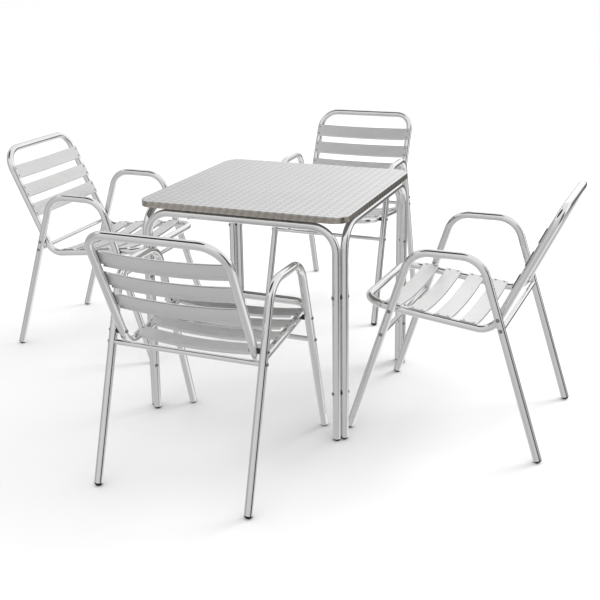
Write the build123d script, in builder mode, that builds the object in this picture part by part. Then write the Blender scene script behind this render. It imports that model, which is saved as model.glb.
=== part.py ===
import os
from math import asin, degrees, hypot, sqrt

from build123d import *

# Patio dining set: a square steel-topped table on four tube hoops, and four stacking
# armchairs. Millimetres, +Z up, z = 0 is the ground. The origin is under the middle of
# the whole set, and the chairs stand as they do when people have just left the table.

# Where the pieces stand: the middle of the table in the set, and each chair measured from
# the middle of the table, with its turn in degrees.
table_place = (96.093, -196.5)
chair_places = {
    "front_chair": (10.0, -522.0, 0.0),
    "right_chair": (602.0, -8.0, 88.0),
    "back_chair": (-110.0, 915.0, 180.0),
    "left_chair": (-796.0, 226.0, -89.0),
}

# Table top: a board wrapped in thin patterned steel, with a plain sheet underneath.
top_side = 700.0
top_corner_radius = 50.0
top_thickness = 20.0
top_edge_radius = 3.0
table_height = 716.0
steel_sheet = 0.8
under_sheet = 1.0
top_clearance = 0.1

# Tube that the legs, arms and frames are bent from, and the plastic caps in its ends.
tube = 25.0
tube_wall = 1.5
foot_arc_radius = 14.4
foot_arc_height = 8.0
foot_flat_radius = 6.0
foot_rim = 1.5
foot_stem = 16.0
foot_stem_clearance = 0.1

# Table hoops, one along each side. Two legs meet at each corner of the table.
corner_middle = 326.5
leg_pair_spacing = 26.4
table_bend_radius = 78.0
top_gap = 3.0
leg_bolt_heights = (157.0, 466.0)
top_screw_offset = 170.0
screw_length_in_top = 13.0

# Chair, seen from the side: (y, z) of the corners that the bent tubes' centrelines would reach.
arm_half_spacing = 236.0
front_foot = (271.0, 0.0)
arm_front = (77.0, 604.0)
arm_rear = (-133.0, 606.0)
rear_foot = (-320.0, 0.0)
arm_bend_radius = 80.0
frame_half_spacing = 206.0
seat_front = (236.0, 421.0)
seat_rear = (-163.0, 376.0)
back_top = (-348.0, 760.0)
seat_corner_radius = 58.0
seat_bend_radius = 62.0
back_corner_radius = 78.0
frame_seam = 0.3
seam_sleeve_length = 60.0
front_crossbar_height = 332.0
rear_crossbar_height = 396.0
crossbar_radius = 8.0
crossbar_thread_depth = 18.0

# Slats, spaced along the rails from the corner where the seat meets the back.
slat_width = 52.0
slat_thickness = 2.0
slat_pitch = 79.0
slat_overhang = 7.0
slat_edge_radius = 1.2
slat_lip_depth = 6.5
slat_lip_thickness = 1.6
slat_lip_inset = 20.0
seat_slat_first = 71.0
seat_slat_count = 4
seat_slat_sag = 15.0
back_slat_first = 176.0
back_slat_count = 3
back_slat_sag = 14.0
rivet_half_spacing = 14.5

# Fasteners.
bolt_radius = 3.0
bolt_head_radius = 6.0
bolt_head_height = 3.6
nut_radius = 6.2
nut_height = 5.0
spacer_radius = 8.0
screw_radius = 2.2
screw_head_radius = 4.6
screw_head_height = 2.8
rivet_radius = 1.9
rivet_head_radius = 3.9
rivet_head_height = 1.5
rivet_tail = 3.0
fit_clearance = 0.05
rest_clearance = 0.03

tube_radius = tube / 2
bore_radius = tube_radius - tube_wall
slat_rest = tube_radius + rest_clearance


def unit(start, end):
    """Direction from one (y, z) point to another."""
    length = hypot(end[0] - start[0], end[1] - start[1])
    return ((end[0] - start[0]) / length, (end[1] - start[1]) / length)


def along(start, direction, distance):
    """The (y, z) point that lies a distance along a line."""
    return (start[0] + direction[0] * distance, start[1] + direction[1] * distance)


def at_height(start, direction, height):
    """The (y, z) point of a line at one height."""
    return along(start, direction, (height - start[1]) / direction[1])


def crossing(start, direction, other_start, other_direction):
    """The (y, z) point where two lines cross."""
    dy, dz = other_start[0] - start[0], other_start[1] - start[1]
    turn = direction[0] * other_direction[1] - direction[1] * other_direction[0]
    return along(start, direction, (dy * other_direction[1] - dz * other_direction[0]) / turn)


def rod(start, direction, length, radius, mode=Mode.ADD):
    """A round bar, or a round hole when the mode is subtract."""
    with BuildSketch(Plane(origin=start, z_dir=direction)) as end_face:
        Circle(radius)
    extrude(end_face.sketch, amount=length, mode=mode)


def bent_tube(points, radii):
    """One tube, bent along straight runs joined by arcs."""
    with BuildLine() as route:
        FilletPolyline(*points, radius=radii)
    path = route.wires()[0]
    with BuildSketch(Plane(origin=path @ 0, z_dir=path % 0)) as ring:
        Circle(tube_radius)
        Circle(bore_radius, mode=Mode.SUBTRACT)
    sweep(sections=ring.sketch, path=path)


def domed_head(start, direction, radius, height):
    """A low domed head whose flat side is at the start point."""
    axis_plane = Plane(origin=start, z_dir=direction)
    profile_plane = Plane(origin=start, x_dir=axis_plane.x_dir, z_dir=-axis_plane.y_dir)
    dome_radius = (radius**2 + height**2) / (2 * height)
    with BuildSketch(profile_plane) as half_dome:
        with BuildLine():
            Polyline((0, height), (0, 0), (radius, 0))
            RadiusArc((radius, 0), (0, height), -dome_radius)
        make_face()
    revolve(half_dome.sketch, axis=Axis(start, direction))


def foot_levels(up):
    """Distances along a leg, from its tip on the ground, to its cap's rim and the tube's cut end."""
    centre_height = sqrt(foot_arc_radius**2 - foot_flat_radius**2)
    rim = centre_height / up.Z - (foot_arc_radius - foot_arc_height)
    return rim, rim + foot_rim


def tube_end(tip, up):
    """Where the tube of a leg is cut off, above the tip on the ground."""
    return tip + up * foot_levels(up)[1]


def foot_cap(tip, up):
    """A plastic cap plugged into a leg, domed below, with a small flat where it stands."""
    rim_centre = tip + up * foot_levels(up)[0]
    across = Vector(1, 0, 0)
    stem_radius = bore_radius - foot_stem_clearance
    with BuildSketch(Plane(origin=rim_centre, x_dir=across, z_dir=across.cross(up))) as half_cap:
        with BuildLine():
            Polyline(
                (0, -foot_arc_height),
                (0, foot_stem),
                (stem_radius, foot_stem),
                (stem_radius, foot_rim),
                (tube_radius, foot_rim),
                (tube_radius, 0),
            )
            RadiusArc((tube_radius, 0), (0, -foot_arc_height), foot_arc_radius)
        make_face()
    revolve(half_cap.sketch, axis=Axis(rim_centre, up))


# ----- Table, drawn round its own middle -----

top_bottom = table_height - top_thickness
hoop_axis_height = top_bottom - top_gap - tube_radius
pair_shift = leg_pair_spacing / 2 / sqrt(2)
leg_x = corner_middle - pair_shift
leg_y = -(corner_middle + pair_shift)
diagonal = Vector(1, 1, 0).normalized()
up_z = Vector(0, 0, 1)
quarter_turns = [Location((0, 0, 0), (0, 0, 90 * k)) for k in range(4)]
board_side = top_side - 2 * (steel_sheet + top_clearance)
board_corner = top_corner_radius - steel_sheet - top_clearance
board_bottom = top_bottom + under_sheet + top_clearance
board_top = table_height - steel_sheet - top_clearance
screw_offsets = (-top_screw_offset, top_screw_offset)
front_screws = [(x, leg_y) for x in screw_offsets]
all_screws = [(x, y) for x in screw_offsets for y in (leg_y, -leg_y)]
all_screws += [(x, y) for x in (leg_y, -leg_y) for y in screw_offsets]

with BuildPart() as tabletop_steel_skin:
    with BuildSketch(Plane.XY.offset(top_bottom)):
        RectangleRounded(top_side, top_side, top_corner_radius)
    extrude(amount=top_thickness)
    fillet(tabletop_steel_skin.faces().sort_by(Axis.Z)[-1].edges(), top_edge_radius)
    offset(amount=-steel_sheet, openings=tabletop_steel_skin.faces().sort_by(Axis.Z)[0])

with BuildPart() as tabletop_board:
    with BuildSketch(Plane.XY.offset(board_bottom)):
        RectangleRounded(board_side, board_side, board_corner)
    extrude(amount=board_top - board_bottom)
    fillet(tabletop_board.faces().sort_by(Axis.Z)[-1].edges(), top_edge_radius - steel_sheet)
    for x, y in all_screws:
        rod((x, y, top_bottom), up_z, screw_length_in_top, screw_radius + fit_clearance, Mode.SUBTRACT)

with BuildPart() as tabletop_under_sheet:
    with BuildSketch(Plane.XY.offset(top_bottom)):
        RectangleRounded(board_side, board_side, board_corner)
        with Locations(*all_screws):
            Circle(screw_radius + 2 * fit_clearance, mode=Mode.SUBTRACT)
    extrude(amount=under_sheet)

with BuildPart() as leg_hoop:
    left_tip, right_tip = Vector(-leg_x, leg_y, 0), Vector(leg_x, leg_y, 0)
    bent_tube(
        [
            tube_end(left_tip, up_z),
            (-leg_x, leg_y, hoop_axis_height),
            (leg_x, leg_y, hoop_axis_height),
            tube_end(right_tip, up_z),
        ],
        table_bend_radius,
    )
    for height in leg_bolt_heights:
        for tip, partner in ((left_tip, Vector(-1, 1, 0)), (right_tip, Vector(1, 1, 0))):
            start = tip + up_z * height - partner.normalized() * tube
            rod(start, partner, 2 * tube, bolt_radius + fit_clearance, Mode.SUBTRACT)
    for x, y in front_screws:
        rod((x, y, top_bottom - 2 * tube), up_z, 2 * tube, screw_radius + fit_clearance, Mode.SUBTRACT)

with BuildPart() as corner_bolt:
    reach = leg_pair_spacing / 2 + tube_radius
    for height in leg_bolt_heights:
        middle = Vector(corner_middle, -corner_middle, height)
        head_seat, nut_seat = middle - diagonal * reach, middle + diagonal * reach
        rod(head_seat, diagonal, 2 * reach, bolt_radius)
        domed_head(head_seat, -diagonal, bolt_head_radius, bolt_head_height)
        domed_head(nut_seat, diagonal, bolt_head_radius, bolt_head_height)

with BuildPart() as corner_spacer:
    for height in leg_bolt_heights:
        middle = Vector(corner_middle, -corner_middle, height)
        rod(middle - diagonal * tube_radius, diagonal, tube, spacer_radius)
        rod(middle - diagonal * tube, diagonal, 2 * tube, bolt_radius + fit_clearance, Mode.SUBTRACT)
    for tip in (Vector(leg_x, leg_y, 0), Vector(-leg_y, -leg_x, 0)):
        rod(tip, up_z, hoop_axis_height, tube_radius, Mode.SUBTRACT)

with BuildPart() as hoop_feet:
    foot_cap(Vector(-leg_x, leg_y, 0), up_z)
    foot_cap(Vector(leg_x, leg_y, 0), up_z)
    split(bisect_by=Plane.XY, keep=Keep.TOP)

with BuildPart() as top_screws:
    screw_seat = hoop_axis_height - tube_radius
    screw_tip = top_bottom + screw_length_in_top
    for x, y in all_screws:
        rod((x, y, screw_seat), up_z, screw_tip - screw_seat, screw_radius)
        domed_head((x, y, screw_seat), -up_z, screw_head_radius, screw_head_height)

with BuildPart() as top_spacers:
    for x, y in all_screws:
        rod((x, y, hoop_axis_height), up_z, top_bottom - hoop_axis_height, spacer_radius)
        rod((x, y, hoop_axis_height), up_z, tube, screw_radius + fit_clearance, Mode.SUBTRACT)
    for turn in (0, 90):
        for shift in (-leg_y, leg_y):
            bar_start = Vector(-top_side / 2, shift, hoop_axis_height).rotate(Axis.Z, turn)
            rod(bar_start, Vector(1, 0, 0).rotate(Axis.Z, turn), top_side, tube_radius, Mode.SUBTRACT)

with BuildPart() as leg_bolts:
    with Locations(*quarter_turns):
        add(corner_bolt.part)

with BuildPart() as leg_spacers:
    with Locations(*quarter_turns):
        add(corner_spacer.part)

with BuildPart() as table_feet:
    with Locations(*quarter_turns):
        add(hoop_feet.part)

# ----- Chair, drawn round its own origin, facing +Y -----

seat_run = unit(seat_rear, seat_front)
back_run = unit(seat_rear, back_top)
front_leg = unit(front_foot, arm_front)
rear_leg = unit(rear_foot, arm_rear)
front_joint = crossing(front_foot, front_leg, seat_rear, seat_run)
rear_joint = crossing(rear_foot, rear_leg, seat_rear, back_run)
crossbar_ends = [
    at_height(front_foot, front_leg, front_crossbar_height),
    at_height(rear_foot, rear_leg, rear_crossbar_height),
]
sides = (-1, 1)


def chair_leg_tips(side):
    """The tips on the ground and the directions of the two legs on one side of a chair."""
    return [
        (Vector(side * arm_half_spacing, *front_foot), Vector(0, *front_leg)),
        (Vector(side * arm_half_spacing, *rear_foot), Vector(0, *rear_leg)),
    ]


def slat_plane(start, direction, distance, facing):
    """Plane across a slat at its middle: X to the sitter's right, Y out of the slat's face."""
    run = (0, facing * direction[0], facing * direction[1])
    return Plane(origin=(0, *along(start, direction, distance)), x_dir=(1, 0, 0), z_dir=run)


def slat_arc_radius(sag):
    """Radius of a slat's underside, which rests on both tubes and sags between them."""
    low = slat_rest - sag
    return (frame_half_spacing**2 + low**2 - slat_rest**2) / (2 * sag)


def slat_band(plane, sag, rise, drop, reach):
    """Curved strip along a slat, from a rise above its underside to a drop below it."""
    under_radius = slat_arc_radius(sag)
    centre = (0, under_radius + slat_rest - sag)
    half_angle = degrees(asin(reach / under_radius))
    with BuildSketch(plane) as band:
        with BuildLine():
            lower = CenterArc(centre, under_radius + drop, -90 - half_angle, 2 * half_angle)
            upper = CenterArc(centre, under_radius - rise, -90 - half_angle, 2 * half_angle)
            Line(lower @ 0, upper @ 0)
            Line(lower @ 1, upper @ 1)
        make_face()
    return band.sketch


def slat(plane, sag):
    """One dished slat whose ends lie on the side tubes, with a lip down each edge between them."""
    plate = slat_band(plane, sag, slat_thickness, 0, frame_half_spacing + slat_overhang)
    extrude(plate, amount=slat_width / 2, both=True)
    for side in sides:
        edge = plane.offset(side * slat_width / 2)
        lip = slat_band(edge, sag, slat_thickness / 2, slat_lip_depth, frame_half_spacing - slat_lip_inset)
        extrude(lip, amount=-side * slat_lip_thickness)


def long_edges(slats, sag):
    """The two long edges on the face of every slat in a part."""
    face_radius = slat_arc_radius(sag) - slat_thickness
    arcs = slats.edges().filter_by(GeomType.CIRCLE)
    return arcs.filter_by(lambda edge: abs(edge.radius - face_radius) < 0.01)


def rivet_seats(plane, sag):
    """Axis point on a side tube and outward direction of each rivet in one slat."""
    centre_height = slat_arc_radius(sag) + slat_rest - sag
    for side in sides:
        for shift in (-rivet_half_spacing, rivet_half_spacing):
            foot = plane.from_local_coords(Vector(side * frame_half_spacing, 0, shift))
            centre = plane.from_local_coords(Vector(0, centre_height, shift))
            yield foot, (centre - foot).normalized()


seat_planes = [
    slat_plane(seat_rear, seat_run, seat_slat_first + k * slat_pitch, -1)
    for k in range(seat_slat_count)
]
back_planes = [
    slat_plane(seat_rear, back_run, back_slat_first + k * slat_pitch, 1)
    for k in range(back_slat_count)
]
seat_rivets = [seat for plane in seat_planes for seat in rivet_seats(plane, seat_slat_sag)]
back_rivets = [seat for plane in back_planes for seat in rivet_seats(plane, back_slat_sag)]

with BuildPart() as seat_frame:
    corners = [
        (frame_half_spacing, *seat_front),
        (frame_half_spacing, *seat_rear),
        (frame_half_spacing, *back_top),
        (-frame_half_spacing, *back_top),
        (-frame_half_spacing, *seat_rear),
        (-frame_half_spacing, *seat_front),
    ]
    seam = frame_seam / 2
    bent_tube(
        [(seam, *seat_front), *corners, (-seam, *seat_front)],
        [seat_corner_radius, seat_bend_radius, back_corner_radius] * 2,
    )
    for joint in (front_joint, rear_joint):
        start = (-arm_half_spacing, *joint)
        rod(start, (1, 0, 0), 2 * arm_half_spacing, bolt_radius + fit_clearance, Mode.SUBTRACT)
    for foot, outward in seat_rivets + back_rivets:
        rod(foot, outward, tube, rivet_radius + fit_clearance, Mode.SUBTRACT)

with BuildPart() as frame_sleeve:
    start = (-seam_sleeve_length / 2, *seat_front)
    rod(start, (1, 0, 0), seam_sleeve_length, bore_radius - fit_clearance)
    rod(start, (1, 0, 0), seam_sleeve_length, bore_radius - tube_wall, Mode.SUBTRACT)


def arm_hoop(side):
    """The bent tube that makes the two legs and the arm on one side."""
    (front_tip, front_up), (rear_tip, rear_up) = chair_leg_tips(side)
    middle = side * arm_half_spacing
    bent_tube(
        [
            tube_end(front_tip, front_up),
            (middle, *arm_front),
            (middle, *arm_rear),
            tube_end(rear_tip, rear_up),
        ],
        arm_bend_radius,
    )
    for joint in (front_joint, rear_joint, *crossbar_ends):
        start = (middle - tube, *joint)
        rod(start, (1, 0, 0), 2 * tube, bolt_radius + fit_clearance, Mode.SUBTRACT)


with BuildPart() as left_arm:
    arm_hoop(-1)

with BuildPart() as right_arm:
    arm_hoop(1)


def crossbar(end, leg_start, leg_run):
    """A round bar between two legs, its ends shaped to the tubes and tapped for the bolts."""
    rod((-arm_half_spacing, *end), (1, 0, 0), 2 * arm_half_spacing, crossbar_radius)
    for side in sides:
        tip = Vector(side * arm_half_spacing, *leg_start)
        rod(tip, (0, *leg_run), arm_front[1], tube_radius, Mode.SUBTRACT)
        thread_start = (side * arm_half_spacing, *end)
        thread_length = tube_radius + crossbar_thread_depth + fit_clearance
        rod(thread_start, (-side, 0, 0), thread_length, bolt_radius + fit_clearance, Mode.SUBTRACT)


with BuildPart() as front_crossbar:
    crossbar(crossbar_ends[0], front_foot, front_leg)

with BuildPart() as rear_crossbar:
    crossbar(crossbar_ends[1], rear_foot, rear_leg)

with BuildPart() as seat_slats:
    for plane in seat_planes:
        slat(plane, seat_slat_sag)
    fillet(long_edges(seat_slats, seat_slat_sag), slat_edge_radius)
    for foot, outward in seat_rivets:
        rod(foot, outward, tube, rivet_radius + fit_clearance, Mode.SUBTRACT)

with BuildPart() as back_slats:
    for plane in back_planes:
        slat(plane, back_slat_sag)
    fillet(long_edges(back_slats, back_slat_sag), slat_edge_radius)
    for foot, outward in back_rivets:
        rod(foot, outward, tube, rivet_radius + fit_clearance, Mode.SUBTRACT)

with BuildPart() as slat_rivets:
    for foot, outward in seat_rivets + back_rivets:
        head_seat = foot + outward * (slat_rest + slat_thickness + rest_clearance)
        rod(head_seat, -outward, slat_thickness + tube_wall + rivet_tail, rivet_radius)
        domed_head(head_seat, outward, rivet_head_radius, rivet_head_height)

with BuildPart() as rail_spacers:
    for side in sides:
        for joint in (front_joint, rear_joint):
            start = (side * frame_half_spacing, *joint)
            rod(start, (side, 0, 0), arm_half_spacing - frame_half_spacing, spacer_radius)
            rod(start, (side, 0, 0), tube, bolt_radius + fit_clearance, Mode.SUBTRACT)
        for rail_run, joint in ((seat_run, front_joint), (back_run, rear_joint)):
            rail_start = Vector(side * frame_half_spacing, *along(joint, rail_run, -tube))
            rod(rail_start, (0, *rail_run), 2 * tube, tube_radius, Mode.SUBTRACT)
        for leg_run, joint in ((front_leg, front_joint), (rear_leg, rear_joint)):
            leg_start = Vector(side * arm_half_spacing, *along(joint, leg_run, -tube))
            rod(leg_start, (0, *leg_run), 2 * tube, tube_radius, Mode.SUBTRACT)

with BuildPart() as frame_bolts:
    for side in sides:
        outer = side * (arm_half_spacing + tube_radius)
        nut_seat = side * (frame_half_spacing - tube_radius)
        inward = (-side, 0, 0)
        for joint in (front_joint, rear_joint):
            rod((outer, *joint), inward, abs(outer - nut_seat), bolt_radius)
            domed_head((outer, *joint), (side, 0, 0), bolt_head_radius, bolt_head_height)
            domed_head((nut_seat, *joint), inward, nut_radius, nut_height)
        for joint in crossbar_ends:
            rod((outer, *joint), inward, tube + crossbar_thread_depth, bolt_radius)
            domed_head((outer, *joint), (side, 0, 0), bolt_head_radius, bolt_head_height)

with BuildPart() as chair_feet:
    for side in sides:
        for tip, up in chair_leg_tips(side):
            foot_cap(tip, up)
    split(bisect_by=Plane.XY, keep=Keep.TOP)

# ----- The set: every piece is moved to its place and written under its own name -----

os.makedirs("parts", exist_ok=True)
table_spot = Location((*table_place, 0))


def write_piece(builder, node_name, spot):
    """Moves one finished piece to its place in the set and writes it."""
    placed = builder.part.moved(spot)
    placed.label = node_name
    export_step(placed, f"parts/{node_name}.step")


table_pieces = {
    "tabletop_steel_skin": tabletop_steel_skin,
    "tabletop_board": tabletop_board,
    "tabletop_under_sheet": tabletop_under_sheet,
    "top_screws": top_screws,
    "top_spacers": top_spacers,
    "leg_bolts": leg_bolts,
    "leg_spacers": leg_spacers,
    "table_feet": table_feet,
}
chair_pieces = {
    "seat_frame": seat_frame,
    "frame_sleeve": frame_sleeve,
    "left_arm": left_arm,
    "right_arm": right_arm,
    "front_crossbar": front_crossbar,
    "rear_crossbar": rear_crossbar,
    "seat_slats": seat_slats,
    "back_slats": back_slats,
    "slat_rivets": slat_rivets,
    "rail_spacers": rail_spacers,
    "frame_bolts": frame_bolts,
    "feet": chair_feet,
}
for node_name, builder in table_pieces.items():
    write_piece(builder, node_name, table_spot)
for side_name, quarter_turn in zip(("front", "right", "back", "left"), quarter_turns):
    write_piece(leg_hoop, f"leg_hoop_{side_name}", table_spot * quarter_turn)
for chair_name, (x, y, turn) in chair_places.items():
    chair_spot = table_spot * Location((x, y, 0), (0, 0, turn))
    for piece_name, builder in chair_pieces.items():
        write_piece(builder, f"{chair_name}_{piece_name}", chair_spot)
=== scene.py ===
import math

import bpy
from mathutils import Matrix, Vector


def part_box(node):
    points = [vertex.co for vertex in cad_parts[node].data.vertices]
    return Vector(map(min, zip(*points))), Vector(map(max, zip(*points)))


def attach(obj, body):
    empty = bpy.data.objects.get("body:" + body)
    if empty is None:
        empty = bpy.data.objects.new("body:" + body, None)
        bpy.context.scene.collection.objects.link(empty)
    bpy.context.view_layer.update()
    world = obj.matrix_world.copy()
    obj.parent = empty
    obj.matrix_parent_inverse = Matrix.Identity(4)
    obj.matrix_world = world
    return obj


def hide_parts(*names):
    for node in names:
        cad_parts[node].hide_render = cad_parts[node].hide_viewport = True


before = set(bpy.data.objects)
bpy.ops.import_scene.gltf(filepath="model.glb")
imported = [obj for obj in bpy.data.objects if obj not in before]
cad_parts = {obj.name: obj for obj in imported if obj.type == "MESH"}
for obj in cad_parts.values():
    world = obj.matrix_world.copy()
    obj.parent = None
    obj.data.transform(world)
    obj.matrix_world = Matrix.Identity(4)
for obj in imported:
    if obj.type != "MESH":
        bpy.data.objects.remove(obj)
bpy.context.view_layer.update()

# Patio dining set: bent-tube table with a circled steel top, and four slatted armchairs.
# Lengths are in metres.
topLow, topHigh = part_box("tabletop_steel_skin")
tableMiddle = (topLow + topHigh) / 2
print("frame loaded:", len(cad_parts), "nodes")


# Camera, a little above the top and to the right of the front chair

cameraSet = {
    "spot": (1.3637, -3.1842, 1.4626),
    "yaw": 23.99,               # degrees, to the left of straight ahead
    "pitch": -14.69,
    "roll": -1.30,
    "lens": 59.80,              # mm
    "sensor": 36.0,             # mm
    "shift": (0.06, -0.1417),
    "clip": (0.05, 200.0),
}


def placeCamera(values):
    yaw, pitch, roll = (math.radians(values[name]) for name in ("yaw", "pitch", "roll"))
    level = math.cos(pitch)
    ahead = Vector((-math.sin(yaw) * level, math.cos(yaw) * level, math.sin(pitch)))
    across = ahead.cross(Vector((0, 0, 1))).normalized()
    above = across.cross(ahead)
    right = across * math.cos(roll) + above * math.sin(roll)
    up = above * math.cos(roll) - across * math.sin(roll)
    lens = bpy.data.cameras.new("camera")
    lens.lens, lens.sensor_width = values["lens"], values["sensor"]
    lens.shift_x, lens.shift_y = values["shift"]
    lens.clip_start, lens.clip_end = values["clip"]
    camera = bpy.data.objects.new("camera", lens)
    bpy.context.scene.collection.objects.link(camera)
    turned = Matrix((right, up, -ahead)).transposed().to_4x4()
    camera.matrix_world = Matrix.Translation(values["spot"]) @ turned
    bpy.context.scene.camera = camera


placeCamera(cameraSet)
print("camera placed")


# Shader writing: a Wire is a socket that can stand in sums, a Finish is one material or world

class Wire:
    def __init__(self, finish, socket):
        self.finish, self.socket = finish, socket

    def __add__(self, other):
        return self.finish.maths("ADD", self, other)

    __radd__ = __add__

    def __mul__(self, other):
        return self.finish.maths("MULTIPLY", self, other)

    __rmul__ = __mul__

    def __sub__(self, other):
        return self.finish.maths("SUBTRACT", self, other)

    def __rsub__(self, other):
        return self.finish.maths("SUBTRACT", other, self)

    def __truediv__(self, other):
        return self.finish.maths("DIVIDE", self, other)

    def __pow__(self, other):
        return self.finish.maths("POWER", self, other)

    def __lt__(self, other):
        return self.finish.maths("LESS_THAN", self, other)

    def __gt__(self, other):
        return self.finish.maths("GREATER_THAN", self, other)

    def __abs__(self):
        return self.finish.maths("ABSOLUTE", self)

    def __floor__(self):
        return self.finish.maths("FLOOR", self)


class Finish:
    def __init__(self, holder):
        holder.use_nodes = True
        self.tree = holder.node_tree
        self.tree.nodes.clear()

    def node(self, kind, settings=None, sockets=None, out=0):
        made = self.tree.nodes.new(kind)
        for name, value in (settings or {}).items():
            if name == "stops":
                self.setStops(made.color_ramp.elements, value)
            elif name == "interpolation":
                made.color_ramp.interpolation = value
            else:
                setattr(made, name, value)
        for name, value in (sockets or {}).items():
            socket = made.inputs[name]
            if isinstance(value, Wire):
                self.tree.links.new(value.socket, socket)
            else:
                socket.default_value = value
        return Wire(self, made.outputs[out]) if made.outputs else None

    def setStops(self, elements, stops):
        while len(elements) < len(stops):
            elements.new(0.5)
        for element, (place, shade) in zip(elements, stops):
            element.position = place
            element.color = grey(shade)

    def maths(self, operation, *values):
        return self.node("ShaderNodeMath", {"operation": operation}, dict(enumerate(values)))

    def place(self, scale=(1, 1, 1), source="Object"):      # coordinates times a scale
        spot = self.node("ShaderNodeTexCoord", out=source)
        return self.node("ShaderNodeVectorMath", {"operation": "MULTIPLY"}, {0: spot, 1: scale})

    def noise(self, scale, detail=2.0, roughness=0.5):
        return self.node("ShaderNodeTexNoise", {}, {
            "Vector": self.place(scale), "Scale": 1.0, "Detail": detail, "Roughness": roughness})

    def cells(self, scale, out):
        return self.node("ShaderNodeTexVoronoi", {}, {
            "Vector": self.place(scale), "Scale": 1.0}, out=out)

    def parts(self, vector):
        outputs = self.node("ShaderNodeSeparateXYZ", {}, {0: vector}).socket.node.outputs
        return [Wire(self, outputs[k]) for k in range(3)]

    def blend(self, mask, first, second, kind="MIX"):       # two colours
        return self.node("ShaderNodeMix", {"data_type": "RGBA", "blend_type": kind}, {
            0: mask, 6: first, 7: second}, out=2)

    def raised(self, height, distance, strength=1.0):
        return self.node("ShaderNodeBump", {}, {
            "Strength": strength, "Distance": distance, "Height": height})

    def surface(self, sockets):
        shader = self.node("ShaderNodeBsdfPrincipled", {}, sockets)
        self.node("ShaderNodeOutputMaterial", {}, {"Surface": shader})


def grey(value, warmth=0.0):
    return (value * (1 + warmth), value, value * (1 - warmth), 1.0)


def newFinish(name):
    material = bpy.data.materials.new(name)
    return material, Finish(material)


# Finishes. Grain sizes are in waves per metre along x, y and z.

tubeFinishSet = {
    "shades": (grey(0.78, 0.004), grey(0.86)),
    "clouds": (16, 16, 9),
    "drawnLines": (620, 620, 16),
    "scuffs": (60, 60, 150),
    "roughness": 0.05,
    "lineHeight": 0.00002,
}


def polishedTubeFinish(values):
    material, finish = newFinish("polishedTube")
    cloud = finish.noise(values["clouds"], 3)
    drawn = finish.noise(values["drawnLines"], 2)
    scuff = finish.noise(values["scuffs"], 4, 0.65)
    finish.surface({
        "Base Color": finish.blend(cloud, *values["shades"]),
        "Metallic": 1.0,
        "Roughness": values["roughness"] + 0.05 * cloud + 0.04 * drawn + 0.03 * scuff,
        "Normal": finish.raised(drawn, values["lineHeight"], 0.25),
    })
    return material


slatFinishSet = {
    "shades": (grey(0.70, 0.004), grey(0.88, 0.002)),
    "brushing": (7, 1500, 1500),
    "clouds": (9, 22, 22),
    "roughness": 0.24,
    "brushHeight": 0.00004,
}


def ribbedSlatFinish(values):
    material, finish = newFinish("ribbedSlat")
    brushed = finish.noise(values["brushing"], 3, 0.6)
    cloud = finish.noise(values["clouds"], 2)
    finish.surface({
        "Base Color": finish.blend(0.5 * brushed + 0.5 * cloud, *values["shades"]),
        "Metallic": 1.0,
        "Roughness": values["roughness"] + 0.10 * brushed + 0.05 * cloud,
        "Normal": finish.raised(brushed, values["brushHeight"], 0.4),
    })
    return material


rivetFinishSet = {
    "shades": (grey(0.34), grey(0.46)),
    "clouds": (180, 180, 180),
    "roughness": 0.26,
    "dentHeight": 0.00005,
}


def pressedAluminiumFinish(values):
    material, finish = newFinish("pressedAluminium")
    cloud = finish.noise(values["clouds"], 3)
    finish.surface({
        "Base Color": finish.blend(cloud, *values["shades"]),
        "Metallic": 1.0,
        "Roughness": values["roughness"] + 0.14 * cloud,
        "Normal": finish.raised(cloud, values["dentHeight"], 0.4),
    })
    return material


zincFinishSet = {
    "shades": (grey(0.22, 0.02), grey(0.34, 0.01)),
    "spangles": (900, 900, 900),
    "clouds": (240, 240, 240),
    "roughness": 0.24,
    "spangleHeight": 0.00002,
}


def zincFinish(values):
    material, finish = newFinish("zincPlating")
    spangle = finish.cells(values["spangles"], "Distance")
    cloud = finish.noise(values["clouds"], 3)
    finish.surface({
        "Base Color": finish.blend(0.5 * spangle + 0.5 * cloud, *values["shades"]),
        "Metallic": 1.0,
        "Roughness": values["roughness"] + 0.16 * cloud,
        "Normal": finish.raised(spangle, values["spangleHeight"], 0.3),
    })
    return material


mouldedSet = {
    "grain": (1400, 1400, 1400),
    "dust": (70, 70, 70),
    "grainHeight": 0.00004,
    "spacer": {"shade": 0.024, "roughness": 0.42, "gloss": 0.35},
    "footCap": {"shade": 0.003, "roughness": 0.48, "gloss": 0.1},
}


def mouldedBlackFinish(name, values):
    material, finish = newFinish(name)
    grain = finish.noise(mouldedSet["grain"], 2)
    dust = finish.noise(mouldedSet["dust"], 4, 0.6)
    shade = values["shade"]
    finish.surface({
        "Base Color": finish.blend(dust, grey(shade * 0.6), grey(shade * 1.5, 0.03)),
        "Roughness": values["roughness"] + 0.12 * dust,
        "Specular IOR Level": values["gloss"],
        "Normal": finish.raised(grain, mouldedSet["grainHeight"], 0.5),
    })
    return material


boardSet = {
    "shades": ((0.30, 0.19, 0.10, 1), (0.52, 0.37, 0.22, 1)),
    "chips": (320, 320, 900),
    "fibres": (600, 600, 600),
    "roughness": 0.75,
    "fibreHeight": 0.0003,
}


def pressedBoardFinish(values):
    material, finish = newFinish("pressedBoard")
    chips = finish.cells(values["chips"], "Color")
    fibre = finish.noise(values["fibres"], 4, 0.7)
    base = finish.blend(fibre, *values["shades"])
    finish.surface({
        "Base Color": finish.blend(0.5, base, chips, "SOFT_LIGHT"),
        "Roughness": values["roughness"] + 0.15 * fibre,
        "Normal": finish.raised(fibre, values["fibreHeight"], 0.5),
    })
    return material


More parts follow.
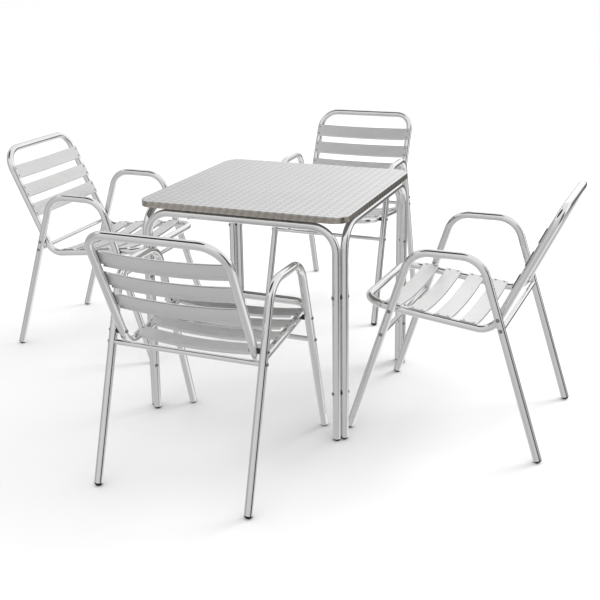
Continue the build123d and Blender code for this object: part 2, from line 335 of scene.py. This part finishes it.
backingSet = {
    "shades": (grey(0.16, 0.04), grey(0.30, 0.03)),
    "specks": (900, 900, 900),
    "clouds": (12, 12, 12),
    "roughness": 0.5,
    "speckHeight": 0.00006,
}


def backingSheetFinish(values):
    material, finish = newFinish("backingSheet")
    speck = finish.noise(values["specks"], 2, 0.7)
    cloud = finish.noise(values["clouds"], 3)
    finish.surface({
        "Base Color": finish.blend(0.6 * speck + 0.4 * cloud, *values["shades"]),
        "Roughness": values["roughness"] + 0.2 * speck,
        "Normal": finish.raised(speck, values["speckHeight"], 0.5),
    })
    return material


circleSet = {
    "pitch": 0.0262,            # from one spot to the next
    "radius": 0.66,             # of a spot, in pitches
    "dish": 0.00016,
    "topShades": (grey(0.46), grey(0.88)),
    "bandShades": ((0.31, 0.285, 0.255, 1), (0.59, 0.55, 0.50, 1)),
    "roughness": 0.20,
    "edgeBand": 0.5,            # the skin's normal is lower than this on the band round the top
    "highlightBowTurn": 1.1,             # where round a spot its painted highlight bow lies
    "hairs": (26, 0.8),         # outwards over a pitch, and round a spot
    "spotShuffle": (3.7, 8.3),  # so that neighbouring spots have hairs of their own
    "cellShuffle": (1.7, 2.3),
    "clouds": (5, 5, 5),
}


def circledSteelFinish(values):
    # Brushed spots in rows. Each spot lies over the one before it, and each row over the last.
    material, finish = newFinish("circledSteel")
    step = 1 / values["pitch"]
    nx, ny, nz = finish.parts(finish.node("ShaderNodeNewGeometry", out="Normal"))
    side = nz < values["edgeBand"]
    x, y, z = finish.parts(finish.place((step, step, step)))
    facesX = (abs(nx) > abs(ny)) * side                 # on the band the rows run down the edge
    facesY = side * (1 - facesX)
    acrossX = x * (1 - facesX) + z * facesX
    acrossY = y * (1 - facesY) + z * facesY
    cellX, cellY = math.floor(acrossX), math.floor(acrossY)
    dx, dy = acrossX - cellX - 0.5, acrossY - cellY - 0.5
    taken = None
    spotX, spotY, shuffle = 0.0, 0.0, 0.0
    for row in (1, 0, -1):
        for column in (1, 0, -1):
            awayX, awayY = dx - column, dy - row
            inside = (awayX * awayX + awayY * awayY) ** 0.5 < values["radius"]
            fresh = inside if taken is None else inside * (1 - taken)
            taken = inside if taken is None else finish.maths("MAXIMUM", taken, inside)
            own = column * values["spotShuffle"][0] + row * values["spotShuffle"][1]
            spotX = awayX * fresh + spotX
            spotY = awayY * fresh + spotY
            shuffle = fresh * own + shuffle
    far = (spotX * spotX + spotY * spotY) ** 0.5
    angle = finish.maths("ARCTAN2", spotY, spotX)
    # Painted highlight: a bright bow across each spot is fixed in the colour, standing in for
    # where the circular brushing catches the light
    paintedHighlightBow = 0.5 + 0.5 * finish.maths("SINE", 2 * angle + values["highlightBowTurn"])
    outwards, around = values["hairs"]
    shuffleX, shuffleY = values["cellShuffle"]
    combed = finish.node("ShaderNodeCombineXYZ", {}, {
        0: far * outwards, 1: angle * around, 2: shuffle + cellX * shuffleX + cellY * shuffleY})
    hairs = finish.node("ShaderNodeTexNoise", {}, {"Vector": combed, "Scale": 1.0, "Detail": 2.0})
    # Colour mixes the painted highlight bow with the brushing hairs and clouds, which are the
    # steel's own grain
    lit = 0.45 * paintedHighlightBow + 0.35 * hairs + 0.2 * finish.noise(values["clouds"], 2)
    top = finish.blend(lit, *values["topShades"])
    band = finish.blend(lit, *values["bandShades"])
    finish.surface({
        "Base Color": finish.blend(side, top, band),
        "Metallic": 1.0,
        "Roughness": values["roughness"] + 0.12 * hairs + 0.06 * paintedHighlightBow,
        "Normal": finish.raised(far * far + 0.03 * hairs, values["dish"], 1.0),
    })
    return material


finishes = {
    "polished_aluminium_tube": polishedTubeFinish(tubeFinishSet),
    "brushed_aluminium_slat": ribbedSlatFinish(slatFinishSet),
    "bright_aluminium": pressedAluminiumFinish(rivetFinishSet),
    "patterned_steel": circledSteelFinish(circleSet),
    "top_board": pressedBoardFinish(boardSet),
    "under_sheet": backingSheetFinish(backingSet),
    "zinc_plated_steel": zincFinish(zincFinishSet),
    "black_plastic": mouldedBlackFinish("blackSpacer", mouldedSet["spacer"]),
    "black_rubber": mouldedBlackFinish("blackFootCap", mouldedSet["footCap"]),
}
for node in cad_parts.values():
    for materialSlot in node.material_slots:
        materialSlot.material = finishes[materialSlot.material.name.split(".")[0]]
print("finishes made:", len(finishes))


# Mesh helpers

def newPiece(name, points, faces, slot, sharpAngle):
    mesh = bpy.data.meshes.new(name)
    mesh.from_pydata(points, [], faces)
    mesh.validate()
    mesh.polygons.foreach_set("use_smooth", [True] * len(mesh.polygons))
    mesh.set_sharp_from_angle(angle=math.radians(sharpAngle))
    mesh.materials.append(finishes[slot])
    piece = bpy.data.objects.new(name, mesh)
    bpy.context.scene.collection.objects.link(piece)
    return piece


def addPart(points, faces, partPoints, partFaces):
    base = len(points)
    points.extend(partPoints)
    faces.extend([[base + k for k in face] for face in partFaces])


# Chairs: where each stands, and the corners of its seat frame in its own frame, facing +Y

chairPlaces = {                 # x and y from the middle of the table, and turn in degrees
    "front_chair": (0.010, -0.522, 0.0),
    "right_chair": (0.602, -0.008, 88.0),
    "back_chair": (-0.110, 0.915, 180.0),
    "left_chair": (-0.796, 0.226, -89.0),
}
chairSet = {
    "frameHalfSpacing": 0.206,  # from the middle of the chair to the axis of a side tube
    "seatFront": (0.0, 0.236, 0.421),
    "seatRear": (0.0, -0.163, 0.376),
    "backTop": (0.0, -0.348, 0.760),
}
seatRear = Vector(chairSet["seatRear"])
seatRun = (Vector(chairSet["seatFront"]) - seatRear).normalized()
backRun = (Vector(chairSet["backTop"]) - seatRear).normalized()


def chairMatrix(chair):
    x, y, turn = chairPlaces[chair]
    spot = Matrix.Translation((tableMiddle.x + x, tableMiddle.y + y, 0.0))
    return spot @ Matrix.Rotation(math.radians(turn), 4, "Z")


# Slats: ribbed along their length, dished between the two side tubes, with a lip down each edge

slatSet = {
    "width": 0.052,
    "thickness": 0.002,
    "overhang": 0.007,
    "rest": 0.01253,            # underside above the tube's axis
    "pitch": 0.079,
    "seatFirst": 0.071,
    "seatCount": 4,
    "seatSag": 0.015,
    "backFirst": 0.176,
    "backCount": 3,
    "backSag": 0.014,
    "ribPitch": 0.0052,
    "ribCount": 9,
    "ribMargin": 0.0007,
    "ribProfile": [(0, 1), (0.16, 0.3), (0.5, 0), (0.84, 0.3)],     # shares of pitch and depth
    "grooveDepth": 0.00072,
    "underGroove": 0.7,         # how much of a groove shows on the underside
    "cornerRound": 0.0012,
    "cornerSteps": (0, 30, 60, 90),
    "plainEdge": [(0.0, 0.62), (0.0003, 0.85), (0.0007, 0.96), (0.0011, 1.0)],
    "lipDepth": 0.0065,
    "lipPly": 0.0016,
    "lipSoftness": 0.0004,
    "lipReach": 0.186,          # from the slat's middle to where the lips fade out
    "lipRun": 0.0045,
    "lipFade": [(0.25, 0.85), (0.6, 0.3), (1.0, 0.0)],              # shares of run and lip
    "endFade": [(0.0005, 1.0), (0.00015, 0.88), (0.0, 0.6)],        # before the end, thickness
    "endNarrowing": 0.01,
    "halfStations": 8,
    "sharpAngle": 50,
}


def ribRow():
    # (across, depth below the face) from one side of the ribs to the other
    pitch, count, groove = slatSet["ribPitch"], slatSet["ribCount"], slatSet["grooveDepth"]
    start, margin = -pitch * count / 2, slatSet["ribMargin"]
    row = [(start - margin, 0.0)]
    for k in range(count):
        for phase, deep in slatSet["ribProfile"]:
            row.append((start + (k + phase) * pitch, deep * groove))
    return row + [(-start, groove), (-start + margin, 0.0)]


def slatEdge(lipShare):
    # from the face round one edge to the underside, with or without its lip
    half, ply, turn = slatSet["width"] / 2, slatSet["thickness"], slatSet["cornerRound"]
    low, lip, soft = ply + slatSet["lipDepth"], slatSet["lipPly"], slatSet["lipSoftness"]
    edge = []
    for angle in map(math.radians, slatSet["cornerSteps"]):
        edge.append((half - turn * (1 - math.sin(angle)), turn * (1 - math.cos(angle))))
    plain = [(half - inward, share * ply) for inward, share in slatSet["plainEdge"]]
    plain.append((half - lip, ply))
    lipped = [(half, low - soft), (half - soft, low), (half - lip + soft, low),
              (half - lip, low - soft), (half - lip, ply)]
    for (x0, y0), (x1, y1) in zip(plain, lipped):
        edge.append((x0 + (x1 - x0) * lipShare, y0 + (y1 - y0) * lipShare))
    return edge


def slatStations():
    # (along, share of the lip, share of the thickness) from one end to the other
    reach, lipEnd, lipRun = chairSet["frameHalfSpacing"], slatSet["lipReach"], slatSet["lipRun"]
    end, count = reach + slatSet["overhang"], slatSet["halfStations"]
    half = [(lipEnd * k / count, 1.0, 1.0) for k in range(count + 1)]
    half += [(lipEnd + lipRun * share, lip, 1.0) for share, lip in slatSet["lipFade"]]
    half += [(reach, 0.0, 1.0)]
    half += [(end - short, 0.0, full) for short, full in slatSet["endFade"]]
    return [(-along, lip, full) for along, lip, full in reversed(half[1:])] + half


def slatShape(sag):
    # points as (along, out of the face, across)
    reach, rest, thick = chairSet["frameHalfSpacing"], slatSet["rest"], slatSet["thickness"]
    low = rest - sag
    radius = (reach**2 + low**2 - rest**2) / (2 * sag)
    centre = radius + low
    ribs, stations = ribRow(), slatStations()
    points, faces = [], []
    for along, lip, full in stations:
        angle, edge = math.asin(along / radius), slatEdge(lip)
        under = [(across, thick - slatSet["underGroove"] * deep) for across, deep in ribs]
        loop = ribs + edge + under[::-1] + [(-across, deep) for across, deep in reversed(edge)]
        for across, deep in loop:
            away = radius - thick / 2 - (thick / 2 - deep) * full
            narrow = across * (1 - (1 - full) * slatSet["endNarrowing"])
            points.append((away * math.sin(angle), centre - away * math.cos(angle), narrow))
    count, side = len(ribs), len(slatEdge(0))
    ring = 2 * (count + side)
    for k in range(len(stations) - 1):
        for j in range(ring):
            a, b = k * ring + j, k * ring + (j + 1) % ring
            faces.append((a, b, b + ring, a + ring))
    below = 2 * count + side - 1      # the underside's point under the first face point
    closing = [[j, j + 1, below - j - 1, below - j] for j in range(count - 1)]
    closing.append(list(range(count - 1, count + side + 1)))
    closing.append([*range(below, ring), 0])
    last = (len(stations) - 1) * ring
    faces += [face[::-1] for face in closing] + [[last + k for k in face] for face in closing]
    return points, faces


def slatRow(name, run, kind, facing):
    acrossWay = run * facing
    outWay = acrossWay.cross(Vector((1, 0, 0)))
    shape, shapeFaces = slatShape(slatSet[kind + "Sag"])
    points, faces = [], []
    for k in range(slatSet[kind + "Count"]):
        middle = seatRear + run * (slatSet[kind + "First"] + k * slatSet["pitch"])
        placed = [middle + Vector((along, 0, 0)) + outWay * out + acrossWay * across
                  for along, out, across in shape]
        addPart(points, faces, placed, shapeFaces)
    return newPiece(name, points, faces, "brushed_aluminium_slat", slatSet["sharpAngle"])


for chair in chairPlaces:
    seat = slatRow(f"{chair}_ribbed_seat", seatRun, "seat", -1)
    back = slatRow(f"{chair}_ribbed_back", backRun, "back", 1)
    for piece, node in ((seat, "seat_slats"), (back, "back_slats")):
        piece.matrix_world = chairMatrix(chair)
        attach(piece, chair)
        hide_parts(f"{chair}_{node}")
print("slats made")


# Floor and light

floorSet = {
    "half": 30.0,
    "shade": 0.80,
    "clouds": (1.5, 1.5, 1.5),
    "roughness": 0.85,
    "gloss": 0.2,
}
worldSet = {
    "seen": 1.0,                # the white backdrop behind the floor's edge
    "fill": 1.25,               # even light from all round, on anything that isn't shiny
    "over": 0.92,               # what shiny parts pick up from overhead
    "round": [                  # brightness round the horizon, by the share of a turn from -Y
        (0.0, 0.74), (0.097, 0.70), (0.18, 0.46), (0.26, 0.46), (0.333, 0.56), (0.40, 0.62),
        (0.435, 0.90), (0.47, 1.22), (0.58, 1.08), (0.68, 1.12), (0.74, 1.0), (0.757, 0.03),
        (0.812, 0.03), (0.832, 0.55), (0.90, 0.72),
    ],
    "low": [                    # the same a little below the horizon, past the lit floor
        (0.0, 0.68), (0.097, 0.66), (0.18, 0.46), (0.26, 0.50), (0.333, 0.55), (0.40, 0.50),
        (0.45, 0.30), (0.50, 0.16), (0.58, 0.18), (0.65, 0.42), (0.74, 0.62), (0.757, 0.03),
        (0.812, 0.03), (0.832, 0.55), (0.90, 0.66),
    ],
    "under": [                  # and on the floor beside the set
        (0.0, 0.56), (0.18, 0.58), (0.333, 0.70), (0.45, 0.90), (0.58, 1.0), (0.70, 0.95),
        (0.80, 0.60), (0.90, 0.56),
    ],
    "overFrom": (0.35, 0.75),   # heights between which the room turns into what is overhead
    "lowFrom": (0.46, 0.515),   # half a unit less height, where it turns into the low ring
    "underFrom": (0.30, 0.50),  # depths between which that turns into the floor
    "darkSpot": (-0.32, -0.20, 0.925),      # the way to the unlit part of the ceiling
    "darkFrom": (0.905, 0.935),
    "darkShade": 0.03,
}
lampSet = {
    "spot": (3.2, 3.4, 3.6),
    "aim": (0.0, 0.0, 0.3),
    "size": 2.4,
    "power": 150.0,
}


def makeFloor(values):
    half = values["half"]
    corners = [(-half, -half, 0), (half, -half, 0), (half, half, 0), (-half, half, 0)]
    mesh = bpy.data.meshes.new("floor")
    mesh.from_pydata(corners, [], [(0, 1, 2, 3)])
    material, finish = newFinish("whiteFloor")
    cloud = finish.noise(values["clouds"], 3)
    finish.surface({
        "Base Color": finish.blend(cloud, grey(values["shade"]), grey(values["shade"] * 1.02)),
        "Roughness": values["roughness"] + 0.1 * cloud,
        "Specular IOR Level": values["gloss"],
    })
    mesh.materials.append(material)
    floor = bpy.data.objects.new("floor", mesh)
    bpy.context.scene.collection.objects.link(floor)
    floor.visible_glossy = False      # shiny parts pick up the room instead


def makeWorld(values):
    world = bpy.data.worlds.new("studio")
    bpy.context.scene.world = world
    finish = Finish(world)
    way = finish.place(source="Generated")
    x, y, z = finish.parts(way)
    turn = finish.maths("ARCTAN2", x, y) / (2 * math.pi) + 0.5

    def ramp(stops, amount):
        settings = {"interpolation": "EASE", "stops": stops}
        return finish.node("ShaderNodeValToRGB", settings, {0: amount})

    def rise(name, amount):
        start, end = values[name]
        return ramp([(0.0, 0.0), (start, 0.0), (end, 1.0)], amount)

    nearFloor = finish.blend(
        rise("underFrom", 0 - z), ramp(values["low"], turn), ramp(values["under"], turn))
    room = finish.blend(rise("lowFrom", 0.5 - z), ramp(values["round"], turn), nearFloor)
    room = finish.blend(rise("overFrom", z), room, grey(values["over"]))
    towardsDark = finish.node("ShaderNodeVectorMath", {"operation": "DOT_PRODUCT"}, {
        0: way, 1: values["darkSpot"]}, out="Value")
    room = finish.blend(rise("darkFrom", towardsDark), room, grey(values["darkShade"]))
    shiny = finish.node("ShaderNodeLightPath", out="Is Glossy Ray")
    seen = finish.node("ShaderNodeLightPath", out="Is Camera Ray")
    light = finish.blend(shiny, grey(values["fill"]), room)
    light = finish.blend(seen, light, grey(values["seen"]))
    backdrop = finish.node("ShaderNodeBackground", {}, {"Color": light, "Strength": 1.0})
    finish.node("ShaderNodeOutputWorld", {}, {"Surface": backdrop})


def makeLamp(values):
    light = bpy.data.lights.new("windowLight", "AREA")
    light.shape, light.size, light.energy = "SQUARE", values["size"], values["power"]
    lamp = bpy.data.objects.new("windowLight", light)
    bpy.context.scene.collection.objects.link(lamp)
    spot = Vector(values["spot"])
    lamp.location = spot
    lamp.rotation_euler = (Vector(values["aim"]) - spot).to_track_quat("-Z", "Y").to_euler()
    lamp.visible_glossy = False


makeFloor(floorSet)
makeWorld(worldSet)
makeLamp(lampSet)
bpy.context.scene.view_settings.view_transform = "Standard"
print("floor and light made")
